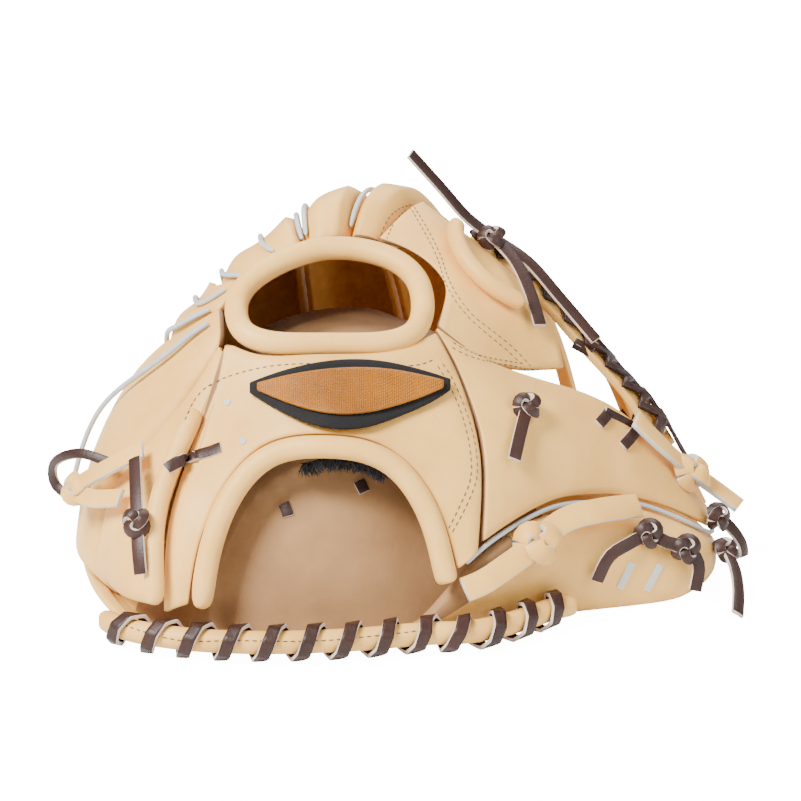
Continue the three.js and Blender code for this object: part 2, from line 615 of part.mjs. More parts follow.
// The stitched panel between the open back and the web.
const PANEL_NEAR = 0.515 * REACH;
const PANEL_FAR = 0.4 * REACH;
const panelReach = (angle) => mix(PANEL_NEAR, PANEL_FAR, smooth(378, 412, angle));
const indexPanel = {
  left: () => 420,
  right: (share) => thumbTop(0.64 * share) + 2.6,
  from: 0.06,
  to: 1,
  end: (angle) => shareWhere(angle, (p) => reachOf(p) > panelReach(angle)),
  bulge: 3,
};
leather("index_panel", (s, t) => panelFace(indexPanel, s, t), steps(9), steps(5), LEATHER, "cream");

// Rolls and piping
const holeRing = steps(26).slice(0, -1).map((k) => {
  const angle = 360 * k;
  const edge = skin(angle, 0);
  const inwards = inPlan(angle, 0, 0).sub(inPlan(angle, 1, 0));
  return edge.addScaledVector(inwards, BINDING / 2 - 1.6).add(new THREE.Vector3(0, 0, -0.6));
});
sweep("back_hole_binding", holeRing, round(BINDING, 8), "cream", { closed: true });

sweep(
  "wrist_binding",
  steps(20).map((k) => archSpot(archTurn(k), WRIST_LIP / 2 + 1.6).point), round(WRIST_LIP, 8), "cream",
);

function pathOn(surface, s, from, to, count, lift) {
  const e = 0.01;
  return steps(count).map((k) => {
    const t = mix(from, to, k);
    const ds = surface(s + e, t).sub(surface(s - e, t));
    const dt = surface(s, t + e).sub(surface(s, t - e));
    return surface(s, t).addScaledVector(ds.cross(dt).normalize(), lift);
  });
}
const PIPING_ROWS = [
  { name: "index", finger: 0, at: 0.24 },
  { name: "middle", finger: 1, at: 0.24 },
  { name: "ring_right", finger: 2, at: 0.77 },
  { name: "ring_middle", finger: 2, at: 0.5 },
  { name: "ring_left", finger: 2, at: 0.2 },
  { name: "pinky_middle", finger: 3, at: 0.5 },
  { name: "pinky_left", finger: 3, at: 0.2 },
];
for (const row of PIPING_ROWS) {
  const face = (s, t) => fingerFace(FINGERS[row.finger], s, t);
  const path = pathOn(face, row.at, 0.04, 0.95, 10, PIPING / 2 + 1.5 * SEAM_GAP);
  sweep(`piping_${row.name}`, path, round(PIPING, 5), "grey");
}
sweep(
  "piping_side",
  pathOn((s, t) => fingerFace(SIDE_WALL, s, t), 0.5, 0.04, 0.95, 12, PIPING / 2 + 1.5 * SEAM_GAP),
  round(PIPING, 5), "grey",
);

// The thumb's piping lies between the back's rim and the palm's lip.
const thumbAngles = [309, 315, 322, 330, 337, 343, 348, 352, 356, 358, 360, 361.5, 363, 366, 370];
const seamPath = thumbAngles.map((angle) => {
  const rim = skin(angle, 0.99);
  return rim.lerp(palm(angle, 1, PALM_PAD / 2), 0.5);
});
sweep("piping_thumb", seamPath, round(0.78 * PIPING, 6), "grey");

// The heel's rolled edge, with the whip lace wound round it.
const floorEdge = (angle) => {
  const reaches = [0.667, 0.72, 0.78, 0.84, 0.9, 1].map((share) => palm(angle, share));
  return inPlan(angle, Math.max(...reaches.filter((p) => p.z < 0.13 * RISE).map(reachOf)), 0);
};
const LACE_RADIUS = HEEL_ROLL / 2 + SEAM_GAP + LACE_THICK / 2 + 0.9;
const HEEL_HEIGHT = LACE_RADIUS + LACE_THICK / 2 + SEAM_GAP;
const heelAt = (angle) => {
  const along = floorEdge(angle + 1.5).sub(floorEdge(angle - 1.5)).normalize();
  const out = new THREE.Vector3(along.y, -along.x, 0);
  return floorEdge(angle).addScaledVector(out, HEEL_HEIGHT + SEAM_GAP).setZ(HEEL_HEIGHT);
};
const HEEL_FROM = 216;
const HEEL_TO = 337;
sweep(
  "heel_binding", through(steps(20).map((k) => heelAt(mix(HEEL_FROM, HEEL_TO, k))), 22),
  round(HEEL_ROLL, 8), "cream",
);
const HEEL_TURNS = 13;
const heelCurve = new THREE.CatmullRomCurve3(
  steps(20).map((k) => heelAt(mix(HEEL_FROM + 3, HEEL_TO - 3, k))), false, "centripetal",
);
const heelLace = [];
const heelUps = [];
for (const k of steps(HEEL_TURNS * 7)) {
  const centre = heelCurve.getPointAt(k);
  const tangent = heelCurve.getTangentAt(k);
  const out = new THREE.Vector3(tangent.y, -tangent.x, 0).normalize();
  const turn = 2 * Math.PI * HEEL_TURNS * k + Math.PI;
  const up = out.multiplyScalar(Math.cos(turn)).add(new THREE.Vector3(0, 0, Math.sin(turn)));
  heelLace.push(centre.clone().addScaledVector(up, LACE_RADIUS));
  heelUps.push(up);
}
sweep("heel_lace", heelLace, flat(LACE_WIDTH, LACE_THICK), "brown", { ups: heelUps });

// Pieces joined with each other where they cross
const wasm = await Module();
wasm.setup();
function solidOf(mesh) {
  group.remove(mesh);
  return new wasm.Manifold(new wasm.Mesh({
    numProp: 3,
    vertProperties: mesh.geometry.getAttribute("position").array,
    triVerts: new Uint32Array(mesh.geometry.index.array),
  }));
}
function join(name, meshes, colour) {
  const whole = meshes.map(solidOf).reduce((all, next) => all.add(next)).getMesh();
  return addMesh(name, Array.from(whole.vertProperties), Array.from(whole.triVerts), colour);
}

// The narrow rolled strip from the strap's left end down to the heel.
const rollPath = steps(9).map((k) => {
  const share = mix(0.34, 0.985, k);
  const angle = strapLeft(share) - 0.6;
  return skin(angle, share).addScaledVector(skinNormal(angle, share), 0.5 * PINKY_ROLL + 2.7);
});
sweep("pinky_roll", rollPath, round(PINKY_ROLL, 8), "cream");

// Black fleece on the inside of the strap, along the wrist opening.
const fleeceSteps = steps(10).map((k) => mix(0.22, 0.8, k));
const fleeceFace = (s, t) => {
  const k = clamp(s, 0, 1) * ARCH_TURNS;
  const i = Math.min(ARCH_TURNS - 1, Math.floor(k));
  const [a, b] = [strapArch[i], strapArch[i + 1]];
  const angle = mix(a.angle, b.angle, k - i);
  const share = mix(a.share, b.share, k - i) - mix(0.22, -0.02, t);
  return skin(angle, share).add(skinLift(angle, share, -LEATHER - 3 * SEAM_GAP));
};
leather(
  "strap_fleece", (s, t) => fleeceFace(1 - s, t), fleeceSteps.map((s) => 1 - s).reverse(), steps(3),
  FLEECE, "fleece",
);

// The web lies between the index panel and the thumb, along a line over the skin.
const WEB_LINE = [
  { angle: 49, reach: 0.5 }, { angle: 34, reach: 0.6 },
  { angle: 23, reach: 0.695 }, { angle: 16, reach: 0.78 },
];
const webCurve = new THREE.CatmullRomCurve3(
  WEB_LINE.map(({ angle, reach }) => inPlan(angle, reach * REACH, 0)), false, "centripetal",
);
function webPoint(along, across, lift) {
  const centre = webCurve.getPoint(along);
  const tangent = webCurve.getTangent(along);
  const plan = centre.addScaledVector(new THREE.Vector3(tangent.y, -tangent.x, 0), across);
  const angle = (Math.atan2(plan.y - HOLE_Y, plan.x - HOLE_X) * 180) / Math.PI;
  const reach = reachOf(plan);
  const share = shareWhere(angle, (p) => reachOf(p) > reach);
  return skin(angle, share).addScaledVector(skinNormal(angle, share), lift);
}
const webUp = (along, across) => webPoint(along, across, 1).sub(webPoint(along, across, 0));
function webBand(name, points, width, thick, colour) {
  return sweep(
    name, points.map(([along, across, lift]) => webPoint(along, across, lift)),
    flat(width, thick), colour, { ups: points.map(([along, across]) => webUp(along, across)) },
  );
}
const POST_LIFT = -4;
for (const [name, across] of [["web_post_near", 0.5], ["web_post_middle", 0], ["web_post_far", -0.5]]) {
  const points = steps(9).map((k) => [k, across * WEB_BAND, POST_LIFT]);
  webBand(name, points, POST_WIDTH, POST_THICK, "cream");
}
// Two zigzag strands cross on top of the posts and turn down at the band's edges.
const strands = [-1, 1].map((first) => {
  const points = [];
  for (let k = 0; k <= WEB_CROSSINGS; k++) {
    const edge = (k % 2 ? -first : first) * (0.5 * WEB_BAND + POST_WIDTH / 2 + LACE_THICK);
    const along = k / WEB_CROSSINGS;
    const lift = POST_LIFT + POST_THICK / 2 + LACE_THICK / 2 + 4.5 * SEAM_GAP;
    points.push([along, edge, lift]);
    if (k < WEB_CROSSINGS) points.push([along + 0.5 / WEB_CROSSINGS, 0, lift]);
  }
  return webBand("strand" + first, points, LACE_WIDTH, LACE_THICK, "brown");
});
join("web_lattice_lace", strands, "brown");

// Straps from the band to the bar at the web's far edge.
const barFace = (s, t) => {
  const angle = mix(WEB_BAR_TO, WEB_BAR_FROM, s);
  const share = mix(0.87, 0.97, t);
  return skin(angle, share).add(skinLift(angle, share, 0));
};
leather("web_tip_bar", barFace, steps(8), steps(2), 2 * LEATHER, "cream");
WEB_STAYS.forEach(([from, angle], k) => {
  const start = webPoint(from, -0.5 * WEB_BAND - POST_WIDTH, 0);
  const startAngle = (Math.atan2(start.y - HOLE_Y, start.x - HOLE_X) * 180) / Math.PI;
  const startShare = shareWhere(startAngle, (p) => reachOf(p) > reachOf(start) + 1);
  const ends = steps(4).map((j) => [mix(startAngle, angle, j), mix(startShare, 0.868, j)]);
  sweep(
    `web_stay_${k + 1}`,
    ends.map(([a, share]) => skin(a, share).add(skinLift(a, share, -LEATHER))),
    flat(POST_WIDTH, POST_THICK), "cream", { ups: ends.map(([a, share]) => skinLift(a, share, 1)) },
  );
});

// The rolled loop beside the index panel.
// Thongs and laces. A route has one row per bend, as shares of REACH, REACH and RISE.
const at = ([x, y, z]) => new THREE.Vector3(x * REACH, y * REACH, z * RISE);
function strand(name, rows, width, thick, colour, up) {
  const path = through(rows.map(at), Math.max(3, 2 * rows.length - 2));
  const ups = path.map(() => new THREE.Vector3(...up).normalize());
  return sweep(name, path, flat(width, thick), colour, { ups });
}
function lump(row, width, depth, height, colour) {
  const ball = new THREE.IcosahedronGeometry(0.5, 1).scale(width, depth, height);
  ball.deleteAttribute("normal");
  ball.deleteAttribute("uv");
  const merged = mergeVertices(ball);
  const place = at(row);
  merged.translate(place.x, place.y, place.z);
  const places = Array.from(merged.getAttribute("position").array);
  return addMesh("lump", places, Array.from(merged.index.array), colour);
}
sweep("web_roll", through(WEB_ROLL_ROUTE.map(at), 9), round(WEB_ROLL, 8), "cream");
for (const { name, routes, knots, wide, thick, colour, up } of THONGS) {
  const parts = routes.map((rows, k) => strand(name + k, rows, wide, thick, colour, up));
  for (const [row, size] of knots) parts.push(lump(row, ...size, colour));
  if (parts.length > 1) join(name, parts, colour);
  else parts[0].name = name;
}

// The patch on the strap: a black felt lens with a gold embroidered lens on it.
const lens = (length, height, lift) => (s, t) => {
  const x = PATCH_X + length * (s - 0.5);
  const half = 0.5 * height * Math.max(0.1, Math.sin(Math.PI * mix(0.03, 0.97, clamp(s, 0, 1)))) ** 0.8;
  const spot = onSkin(x, PATCH_HEIGHT + half * (1 - 2 * t));
  return spot.point.add(skinLift(spot.angle, spot.share, lift));
};
leather("strap_patch_base", lens(PATCH_LENGTH, PATCH_WIDTH, PATCH_LIFT), steps(10), steps(3), FELT, "felt");
leather(
  "strap_patch_face", lens(PATCH_LENGTH - 8, PATCH_WIDTH - 7, PATCH_LIFT + FELT + 1.5 * SEAM_GAP),
  steps(8), steps(2), FELT, "gold",
);

// The origin is on the ground under the middle of the glove.
const box = new THREE.Box3().setFromObject(group);
const middle = box.getCenter(new THREE.Vector3());
for (const mesh of group.children) mesh.geometry.translate(-middle.x, -middle.y, -box.min.z);

export default group;
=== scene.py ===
# %% [markdown]
# # Outfield baseball glove
# The glove lies palm down on a pale floor, its wrist end towards the camera. It is sewn from
# cream steerhide panels over a padded palm, edged with grey piping and tied with flat brown
# rawhide laces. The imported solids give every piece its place. Here each leather solid gets a
# smooth copy with rounded edges, because the solids are faceted, and the sewing, the laces,
# the fleece and the embroidery are modelled on top of those copies.

# %% Frame
import math
import random

import bmesh
import bpy
from mathutils import Matrix, Vector
from mathutils.bvhtree import BVHTree


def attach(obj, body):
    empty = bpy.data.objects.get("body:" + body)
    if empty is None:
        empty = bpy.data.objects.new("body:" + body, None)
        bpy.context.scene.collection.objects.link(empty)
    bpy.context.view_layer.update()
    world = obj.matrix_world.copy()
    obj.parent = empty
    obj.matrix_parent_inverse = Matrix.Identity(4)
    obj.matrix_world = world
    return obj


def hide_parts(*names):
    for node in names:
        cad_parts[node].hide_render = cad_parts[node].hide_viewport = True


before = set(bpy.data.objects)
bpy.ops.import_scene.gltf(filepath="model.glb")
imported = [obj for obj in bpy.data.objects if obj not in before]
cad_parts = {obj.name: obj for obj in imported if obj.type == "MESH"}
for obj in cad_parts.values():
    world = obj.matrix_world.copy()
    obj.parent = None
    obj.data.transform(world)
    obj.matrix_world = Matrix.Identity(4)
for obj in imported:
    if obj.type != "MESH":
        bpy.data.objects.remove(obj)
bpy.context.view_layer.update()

MM = 0.001
HEEL = Vector((-0.74, -129.69, 0)) * MM
print("frame:", len(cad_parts), "nodes")

# %% [markdown]
# ## Camera
# The photograph looks down at the glove at 18 degrees with a long lens. The camera is made
# first, because some seams are placed by their pixels in the photograph, and each such pixel
# is a ray from this camera to the leather.

# %% Camera
ELEVATION = math.radians(18)
DISTANCE = 1.400
FOCAL_PIXELS = 3216
PHOTO_SIDE = 801
PHOTO_MIDDLE = 400
TARGET = Vector((-0.0007, -0.0197, 0.075))
VIEW = Vector((0, math.cos(ELEVATION), -math.sin(ELEVATION)))
SENSOR = 36

camera = bpy.data.objects.new("camera", bpy.data.cameras.new("camera"))
bpy.context.scene.collection.objects.link(camera)
camera.location = TARGET - DISTANCE * VIEW
camera.rotation_euler = VIEW.to_track_quat("-Z", "Y").to_euler()
camera.data.sensor_width = SENSOR
camera.data.lens = SENSOR * FOCAL_PIXELS / PHOTO_SIDE
camera.data.clip_start = 0.1
bpy.context.scene.camera = camera
print("camera at", [round(v, 3) for v in camera.location])

# %% [markdown]
# ## Materials
# Steerhide has a fine pebbled grain, a soft sheen and slightly uneven colour that darkens
# where it is handled. The laces are the same hide dyed dark brown, so their cut edges stay
# pale. All patterns read object coordinates, so they keep their size on every piece.


# %% Materials
def tree_of(name):
    material = bpy.data.materials.new(name)
    material.use_nodes = True
    nodes, links = material.node_tree.nodes, material.node_tree.links
    shader = nodes["Principled BSDF"]
    place = nodes.new("ShaderNodeTexCoord").outputs["Object"]
    return material, nodes, links, shader, place


def noise(nodes, links, place, scale, detail=3.0, rough=0.55):
    node = nodes.new("ShaderNodeTexNoise")
    node.inputs["Scale"].default_value = scale
    node.inputs["Detail"].default_value = detail
    node.inputs["Roughness"].default_value = rough
    links.new(place, node.inputs["Vector"])
    return node.outputs["Fac"]


def ramp(nodes, links, value, stops):
    node = nodes.new("ShaderNodeValToRGB")
    first, last = node.color_ramp.elements[0], node.color_ramp.elements[1]
    first.position, last.position = stops[0][0], stops[-1][0]
    first.color = (*stops[0][1], 1)
    last.color = (*stops[-1][1], 1)
    for position, colour in stops[1:-1]:
        node.color_ramp.elements.new(position).color = (*colour, 1)
    links.new(value, node.inputs["Fac"])
    return node.outputs["Color"]


def bumped(nodes, links, shader, heights):
    normal = None
    for height, strength, distance in heights:
        node = nodes.new("ShaderNodeBump")
        node.inputs["Strength"].default_value = strength
        node.inputs["Distance"].default_value = distance
        links.new(height, node.inputs["Height"])
        if normal:
            links.new(normal, node.inputs["Normal"])
        normal = node.outputs["Normal"]
    links.new(normal, shader.inputs["Normal"])


def hide(name, dark, light, grain=900.0, grain_depth=0.25, roughness=(0.42, 0.6), sheen=0.15):
    """Leather: colour wanders between dark and light, with pores and a fine wrinkled grain."""
    material, nodes, links, shader, place = tree_of(name)
    patches = noise(nodes, links, place, 28.0, 5.0, 0.6)
    middle = [0.5 * (a + b) for a, b in zip(dark, light)]
    colour = ramp(nodes, links, patches, [(0.3, dark), (0.5, middle), (0.7, light)])
    links.new(colour, shader.inputs["Base Color"])
    pores = nodes.new("ShaderNodeTexVoronoi")
    pores.inputs["Scale"].default_value = grain
    links.new(place, pores.inputs["Vector"])
    fine = noise(nodes, links, place, grain * 0.6, 4.0, 0.6)
    wrinkles = noise(nodes, links, place, 160.0, 3.0, 0.5)
    bumped(nodes, links, shader, [
        (wrinkles, 0.10, 0.0006), (pores.outputs["Distance"], grain_depth, 0.00025), (fine, 0.12, 0.0002),
    ])
    rough = nodes.new("ShaderNodeMapRange")
    rough.inputs["To Min"].default_value, rough.inputs["To Max"].default_value = roughness
    links.new(fine, rough.inputs["Value"])
    links.new(rough.outputs["Result"], shader.inputs["Roughness"])
    shader.inputs["Sheen Weight"].default_value = sheen
    shader.inputs["Specular IOR Level"].default_value = 0.35
    return material


CREAM = hide("cream_hide", (0.72, 0.370, 0.075), (0.87, 0.505, 0.130), sheen=0.04)
# The lining's tan is the hide's own colour, made darker as painted shade for the hollow round the hand.
LINING_AND_SHADE = hide("tan_lining_and_painted_shade", (0.25, 0.125, 0.045), (0.35, 0.185, 0.07), 700.0, 0.2, (0.6, 0.75), 0.08)
BROWN = hide("brown_lace", (0.018, 0.0055, 0.0032), (0.038, 0.0125, 0.0070), 1100.0, 0.3, (0.4, 0.55), 0.0)
PALE_EDGE = hide("pale_cut_edge", (0.46, 0.36, 0.30), (0.66, 0.55, 0.47), 1500.0, 0.5, (0.7, 0.9), 0.2)
GREY_EDGE = hide("grey_cut_edge", (0.42, 0.44, 0.38), (0.62, 0.62, 0.54), 1500.0, 0.5, (0.7, 0.9), 0.2)
PIPING = hide("grey_piping", (0.37, 0.41, 0.43), (0.47, 0.51, 0.53), 1200.0, 0.15, (0.3, 0.42), 0.1)
THREAD = hide("brown_thread", (0.085, 0.050, 0.028), (0.15, 0.095, 0.055), 2500.0, 0.4, (0.5, 0.7), 0.2)
print("leather finishes:", len(bpy.data.materials))

# %% [markdown]
# ## Leather panels
# A panel is cut from hide 2 to 3 mm thick and its edges are turned or trimmed, so its solid's
# flat facets become one smooth sheet with a softly rounded rim. Subdivision does that from the
# solid's own grid once its triangles are paired again, and a crease keeps the rim in place.
# Each panel swells by a few tenths of a millimetre, because sewn panels press on each other.

# %% Leather panels
RIM_ANGLE = math.radians(38)
PAIR_ANGLE = math.radians(50)
HAND_MIDDLE = Vector((-20, 75, 112)) * MM + HEEL
HAND_LOW = Vector((-108, 6, 2)) * MM + HEEL
HAND_HIGH = Vector((46, 168, 160)) * MM + HEEL


def line_and_shade_inside(name, piece):
    """The faces round the hand are unglazed tan lining, its colour darkened as painted shade of the hollow:
    the palm's upper side, and what faces the hand.
    """
    piece.data.materials.append(LINING_AND_SHADE)
    for face in piece.data.polygons:
        near = all(low < at < high for low, at, high in zip(HAND_LOW, face.center, HAND_HIGH))
        if name == "palm_shell":
            inner = face.normal.z > 0.1
        elif name.startswith("back_"):
            inner = face.normal.z < -0.15
        else:
            inner = face.normal.dot((HAND_MIDDLE - face.center).normalized()) > 0.25
        if near and inner:
            face.material_index = 1


def smooth_copy(node, material, puff=0.3, levels=2, crease=0.55, flat_foot=False):
    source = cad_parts[node]
    bm = bmesh.new()
    bm.from_mesh(source.data)
    bmesh.ops.remove_doubles(bm, verts=bm.verts, dist=2e-6)
    bmesh.ops.join_triangles(
        bm, faces=bm.faces, angle_face_threshold=PAIR_ANGLE, angle_shape_threshold=math.pi,
    )
    bmesh.ops.recalc_face_normals(bm, faces=bm.faces)
    bm.normal_update()
    layer = bm.edges.layers.float.new("crease_edge")
    for edge in bm.edges:
        if len(edge.link_faces) == 2 and edge.calc_face_angle(0) > RIM_ANGLE:
            edge[layer] = crease
    moves = {vert: vert.normal * puff * MM for vert in bm.verts}
    for vert, move in moves.items():
        vert.co += move
        if flat_foot:
            vert.co.z = max(0.0, vert.co.z)
    for face in bm.faces:
        face.smooth = True
    mesh = bpy.data.meshes.new(f"{node}_soft")
    bm.to_mesh(mesh)
    bm.free()
    piece = bpy.data.objects.new(f"{node}_soft", mesh)
    bpy.context.scene.collection.objects.link(piece)
    mesh.materials.clear()
    mesh.materials.append(material)
    if levels:
        smooth = piece.modifiers.new("smooth", "SUBSURF")
        smooth.levels = smooth.render_levels = levels
    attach(piece, "root")
    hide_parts(node)
    return piece


PANELS = {
    "back_index": 0.3, "back_middle": 0.3, "back_ring": 0.3, "back_pinky": 0.3,
    "pinky_side_panel": 0.3, "index_panel": 0.3, "thumb_panel": 0.3, "pinky_flap": 0.3,
    "wrist_strap": 0.3, "web_tip_bar": 0.2,
}
leather = {name: smooth_copy(name, CREAM, puff) for name, puff in PANELS.items()}
leather["palm_shell"] = smooth_copy("palm_shell", CREAM, 0.0, 2, 0.4, flat_foot=True)
ROLLS = {"back_hole_binding": 1.6, "wrist_binding": 0.8, "heel_binding": 0.3, "pinky_roll": 0.6}
for name, puff in ROLLS.items():
    leather[name] = smooth_copy(name, CREAM, puff, 2, 0.0)
for name in ("web_post_near", "web_post_middle", "web_post_far", "web_stay_1", "web_stay_2", "web_stay_3"):
    leather[name] = smooth_copy(name, CREAM, 0.1, 2, 0.6)
# Faces round the hand take the lining colour, which is partly the lining's tan and partly painted shade of
# the hollow.
LINED_AND_SHADED = ("palm_shell", "back_index", "back_middle", "back_ring", "back_pinky", "wrist_strap",
         "index_panel", "thumb_panel", "pinky_side_panel")
for name in LINED_AND_SHADED:
    line_and_shade_inside(name, leather[name])
piping = {
    name: smooth_copy(name, PIPING, 0.25, 2, 0.0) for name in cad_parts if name.startswith("piping_")
}
print("leather pieces:", len(leather), "piping:", len(piping))

# %% [markdown]
# ## Sewing
# Dark thread holds the index panel and the strap with double rows. Each row is a line of short
# stitches sunk into the leather. The rows follow the photograph: their corners are pixels in
# it, and a ray through each pixel finds the leather under it.

# %% Sewing
bpy.context.view_layer.update()
graph = bpy.context.evaluated_depsgraph_get()
surfaces = {name: BVHTree.FromObject(piece, graph) for name, piece in leather.items()}
eye = camera.location.copy()
right = Vector((1, 0, 0))
above = right.cross(VIEW)


def under_pixel(x, y, names=None):
    """The nearest leather under a pixel of the photograph: its place and its outward normal."""
    side = right * ((x - PHOTO_MIDDLE) / FOCAL_PIXELS) + above * ((PHOTO_MIDDLE - y) / FOCAL_PIXELS)
    ray = (VIEW + side).normalized()
    hits = [surfaces[name].ray_cast(eye, ray) for name in (names or surfaces)]
    hits = [hit for hit in hits if hit[0] is not None]
    if not hits:
        return None
    place, normal = min(hits, key=lambda hit: hit[3])[:2]
    return place, (normal if normal.dot(ray) < 0 else -normal)


def curve_through(points, spacing):
    """Evenly spaced points on a smooth curve through the given ones."""
    fine = []
    for i in range(len(points) - 1):
        a, b, c, d = (points[max(0, i - 1)], points[i], points[i + 1], points[min(len(points) - 1, i + 2)])
        for k in range(12):
            t = k / 12
            fine.append(0.5 * (
                2 * b + (c - a) * t + (2 * a - 5 * b + 4 * c - d) * t * t + (3 * b - a - 3 * c + d) * t ** 3
            ))
    fine.append(points[-1].copy())
    total = sum((b - a).length for a, b in zip(fine, fine[1:]))
    count = max(2, round(total / spacing))
    even, walked, goal = [fine[0]], 0.0, total / count
    for a, b in zip(fine, fine[1:]):
        step = (b - a).length
        while step and walked + step >= goal * len(even) and len(even) < count:
            even.append(a.lerp(b, (goal * len(even) - walked) / step))
        walked += step
    return even + [fine[-1]]


def add_into(whole, part):
    """Adds one strip or row to the bmesh of a bigger piece."""
    mesh = bpy.data.meshes.new("part")
    part.to_mesh(mesh)
    whole.from_mesh(mesh)
    bpy.data.meshes.remove(mesh)
    part.free()


def new_piece(name, bm, materials, smooth=True):
    for face in bm.faces:
        face.smooth = smooth
    mesh = bpy.data.meshes.new(name)
    bm.to_mesh(mesh)
    bm.free()
    for material in materials:
        mesh.materials.append(material)
    piece = bpy.data.objects.new(name, mesh)
    bpy.context.scene.collection.objects.link(piece)
    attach(piece, "root")
    return piece


STITCH_PITCH = 3.1 * MM
STITCH_FACES = 20
STITCH_SIZE = Vector((2.3, 0.62, 0.5)) * MM
SEAM_ROWS = {
    "index_left_outer": [(380, 236), (383, 227), (390, 215), (400, 207.5), (411, 204)],
    "index_left_inner": [(386, 240), (389, 231), (395, 220), (403, 211.5), (410, 208.5)],
    "index_right_outer": [
        (412, 204), (422.5, 221), (432.5, 239), (441, 257.5), (447.5, 277.5), (457.5, 296),
        (472.5, 315), (490, 329), (510, 345), (525, 360), (533, 370),
    ],
    "index_right_inner": [
        (411, 209), (419, 223), (429, 241), (437, 258), (443.5, 279), (453.5, 298.5),
        (469, 318), (486, 333), (506, 349.5), (518, 361),
    ],
    "index_lower_outer": [(450, 346), (462.5, 353), (477.5, 358.5), (495, 362.5), (515, 366), (532, 370.5)],
    "index_lower_inner": [(451, 341), (462.5, 348), (477.5, 354.5), (495, 358.5), (512.5, 361.5), (523, 363)],
    "strap_right_outer": [
        (441, 362), (450, 375), (461, 399), (470, 425), (475.5, 450), (476, 478), (465, 507), (451, 533),
    ],
    "strap_right_inner": [
        (436, 364), (445, 378), (456, 400), (464.5, 425), (469.5, 450), (470, 478), (459, 506), (447, 530),
    ],
    "strap_top": [
        (184, 421), (192, 403), (203, 389), (218, 380), (234, 374), (262, 367), (295, 363.5), (345, 363.5),
        (397, 365.5), (420, 364), (433, 359),
    ],
    "heel_seam": [
        (123, 624), (137.5, 629.5), (155, 634.5), (168, 638), (192, 641), (235, 640), (285, 641),
        (325, 640), (359, 637), (405, 632), (424, 629),
    ],
}


def stitch_row(corners):
    """One row of stitches over the leather under the corners' pixels."""
    rows = curve_through([Vector((x, y, 0)) for x, y in corners], 2.0)
    spots = [spot for spot in (under_pixel(p.x, p.y) for p in rows) if spot]
    places = [place for place, _ in spots]
    steady = [places[0]]
    for place in places[1:]:
        if (place - steady[-1]).length < 0.012:
            steady.append(place)
    bm = bmesh.new()
    line = curve_through(steady, STITCH_PITCH)
    for a, b in zip(line, line[1:]):
        middle = (a + b) / 2
        normal = min(spots, key=lambda spot: (spot[0] - middle).length)[1]
        along = (b - a).normalized()
        side = normal.cross(along).normalized()
        turn = Matrix((along, side, along.cross(side))).transposed().to_4x4()
        size = Matrix.Diagonal((*(STITCH_SIZE / 2), 1))
        bmesh.ops.create_icosphere(
            bm, subdivisions=1, radius=1, matrix=Matrix.Translation(middle + normal * 0.1 * MM) @ turn @ size,
        )
    return bm


sewn = bmesh.new()
count = 0
for corners in SEAM_ROWS.values():
    row = stitch_row(corners)
    count += len(row.faces) // STITCH_FACES
    add_into(sewn, row)
new_piece("seam_stitches", sewn, [THREAD])
print("stitches:", count)

# %% [markdown]
# ## Laces and thongs
# Rawhide laces are cut flat, about 6 mm wide, and their cut edges show the undyed middle of
# the hide. Each one is a strip that follows a route with a few bends, thickened and with its
# long edges rounded, so that the pale edge catches the light. The routes are those of the
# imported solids, in millimetres from the heel's middle.

# %% Laces and thongs
LACE = (5.6, 1.8)
THONG = (10.5, 2.5)


def ribbon(bm, path, ups, width, thick):
    """Adds a flat strip to bm: a grid bent along the path, then thickened. Cut edges get slot 1."""
    rows = len(path) - 1
    strip = bmesh.new()
    bmesh.ops.create_grid(strip, x_segments=rows, y_segments=2, size=1)
    for vert in strip.verts:
        k = min(rows, max(0, round((vert.co.x + 1) / 2 * rows)))
        along = (path[min(rows, k + 1)] - path[max(0, k - 1)]).normalized()
        side = along.cross(ups[k]).normalized()
        up = side.cross(along).normalized()
        across = vert.co.y
        crown = 0.12 * thick * (1 - across * across)
        vert.co = path[k] + side * (across * width / 2) + up * (thick / 2 + crown)
    bmesh.ops.recalc_face_normals(strip, faces=strip.faces)
    strip.normal_update()
    middle = strip.faces[:][rows // 2]
    if middle.normal.dot(ups[rows // 2]) < 0:
        bmesh.ops.reverse_faces(strip, faces=strip.faces)
    top = set(strip.verts)
    bmesh.ops.solidify(strip, geom=strip.faces[:], thickness=thick)
    for face in strip.faces:
        uppers = sum(vert in top for vert in face.verts)
        face.material_index = 1 if 0 < uppers < len(face.verts) else 0
    corners = [
        edge for edge in strip.edges
        if len({face.material_index for face in edge.link_faces}) == 2
    ]
    bmesh.ops.bevel(
        strip, geom=corners, offset=0.18 * thick, segments=2, profile=0.5, affect="EDGES", material=-1,
    )
    add_into(bm, strip)


def lace_line(rows, up, spacing=3.0):
    path = curve_through([Vector(row) * MM + HEEL for row in rows], spacing * MM)
    return path, [Vector(up).normalized()] * len(path)


def knot(bm, centre, radius, facing, width, thick):
    """An overhand knot drawn tight: a trefoil of the same strip, flattened against the glove."""
    facing = Vector(facing).normalized()
    across = facing.cross(Vector((0, 0, 1))).normalized()
    tall = across.cross(facing)
    path, ups = [], []
    for k in range(46):
        t = 2 * math.pi * k / 45
        reach = 0.62 + 0.34 * math.cos(3 * t)
        point = across * (reach * math.cos(2 * t)) + tall * (reach * math.sin(2 * t))
        point += facing * (0.42 * math.sin(3 * t))
        path.append(centre + point * radius)
        ups.append((point + facing * 0.9).normalized())
    ribbon(bm, path, ups, width, thick)


def at(*row):
    return Vector(row) * MM + HEEL


